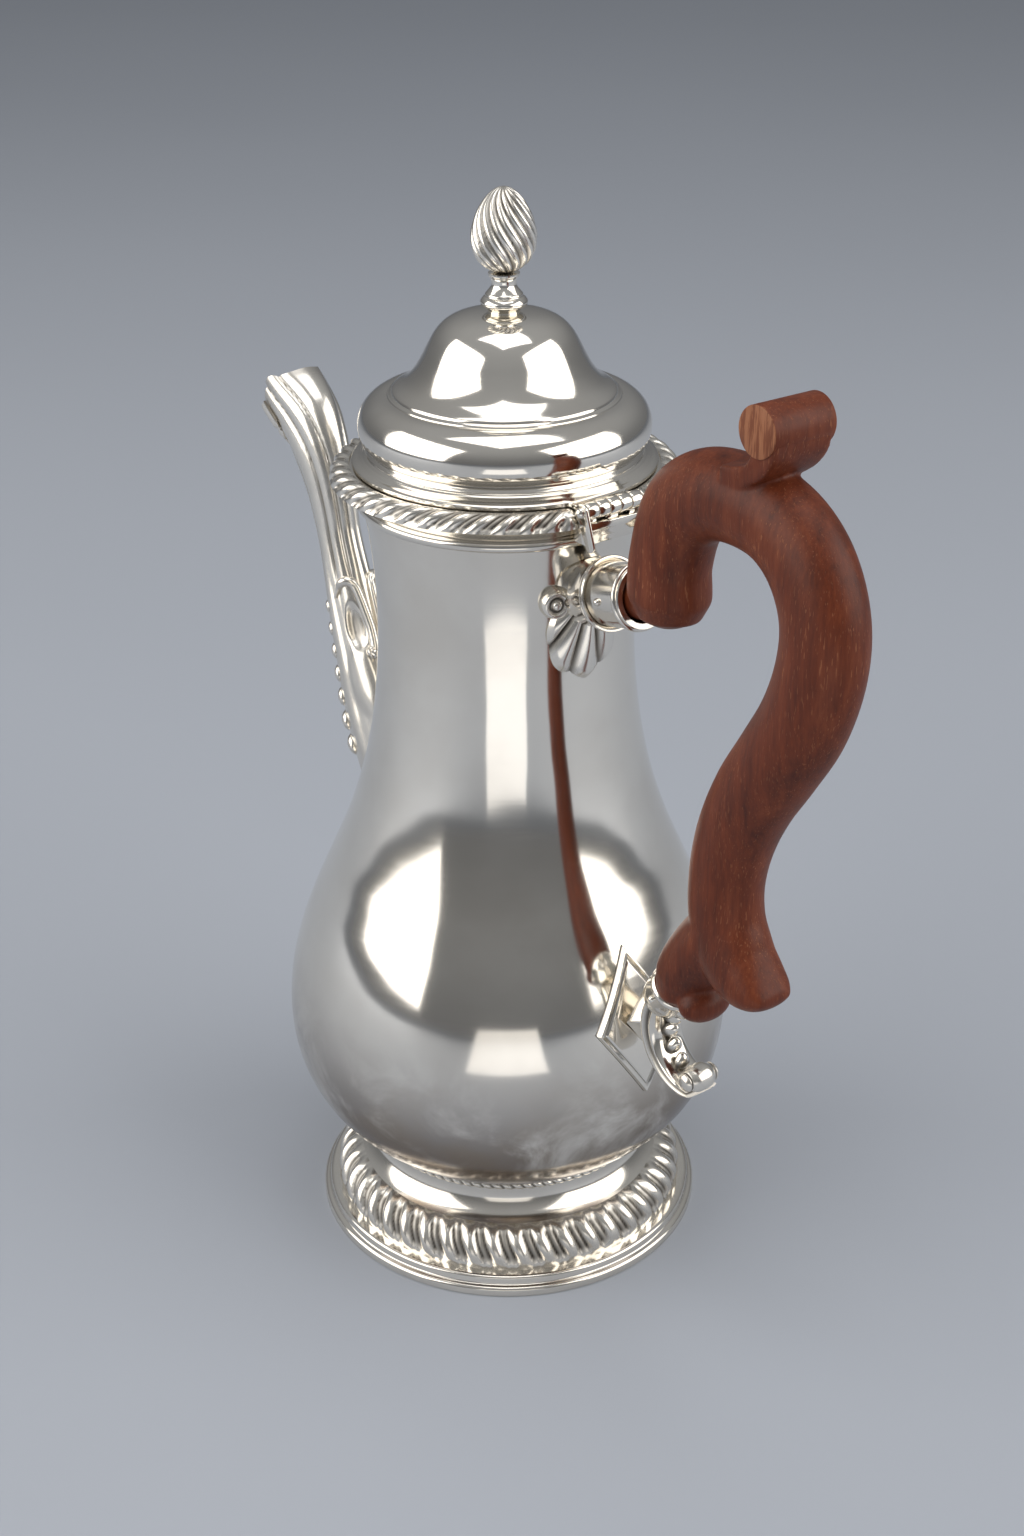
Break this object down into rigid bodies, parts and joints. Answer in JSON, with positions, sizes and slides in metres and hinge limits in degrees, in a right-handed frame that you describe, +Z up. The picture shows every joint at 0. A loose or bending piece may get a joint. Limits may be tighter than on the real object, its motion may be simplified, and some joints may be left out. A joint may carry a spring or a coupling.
{
  "type": "coffee pot",
  "caption": "Pear-shaped silver coffee pot with a hinged domed lid, twisted finial, gadrooned rim and foot, swan-neck spout and carved wooden handle.",
  "frame": {"origin": "centre of the foot's underside, on the table", "axes": "+Z up along the pot's axis, +X towards the handle, so that the spout points along -X and the hinge pin lies along Y"},
  "size_m": [0.2394, 0.1234, 0.293],
  "materials": {
    "silver_body": "polished silver with warm tarnish low on the belly",
    "silver_fittings": "polished silver",
    "silver_ornament": "polished silver, dark in the recesses",
    "hardwood": "satin oiled reddish-brown hardwood"
  },
  "bodies": {
    "pot": {"body_shell": "silver_body", "mouth_collar": "silver_fittings", "mouth_gadroon": "silver_ornament", "neck_wire": "silver_fittings", "foot_dome": "silver_body", "foot_gadroon": "silver_ornament", "foot_base_ring": "silver_fittings", "foot_rope_wire": "silver_ornament", "spout_left_half": "silver_fittings", "spout_right_half": "silver_fittings", "spout_lip_leaf": "silver_ornament", "spout_front_beads": "silver_ornament", "spout_left_scroll": "silver_ornament", "spout_right_scroll": "silver_ornament", "hinge_body_leaf": "silver_fittings", "hinge_pin": "silver_fittings", "hinge_end_plates": "silver_fittings", "upper_shell": "silver_ornament", "upper_socket": "silver_fittings", "upper_socket_ring": "silver_fittings", "lower_plate": "silver_fittings", "lower_socket": "silver_fittings", "lower_socket_bud": "silver_fittings", "handle": "hardwood", "upper_handle_pin": "silver_fittings", "lower_handle_pin": "silver_fittings"},
    "lid": {"lid_cover": "silver_fittings", "lid_flange": "silver_fittings", "lid_bezel": "silver_fittings", "finial_stem": "silver_fittings", "finial_egg": "silver_ornament", "finial_stud": "silver_fittings", "finial_washer": "silver_fittings", "finial_nut": "silver_fittings", "hinge_lid_leaf": "silver_fittings"}
  },
  "joints": [
    {"name": "lid_hinge", "type": "hinge", "parent": "pot", "child": "lid", "pos_m": [0.0434, 0, 0.22555], "axis": [0, 1, 0], "range_deg": [0, 80]}
  ]
}
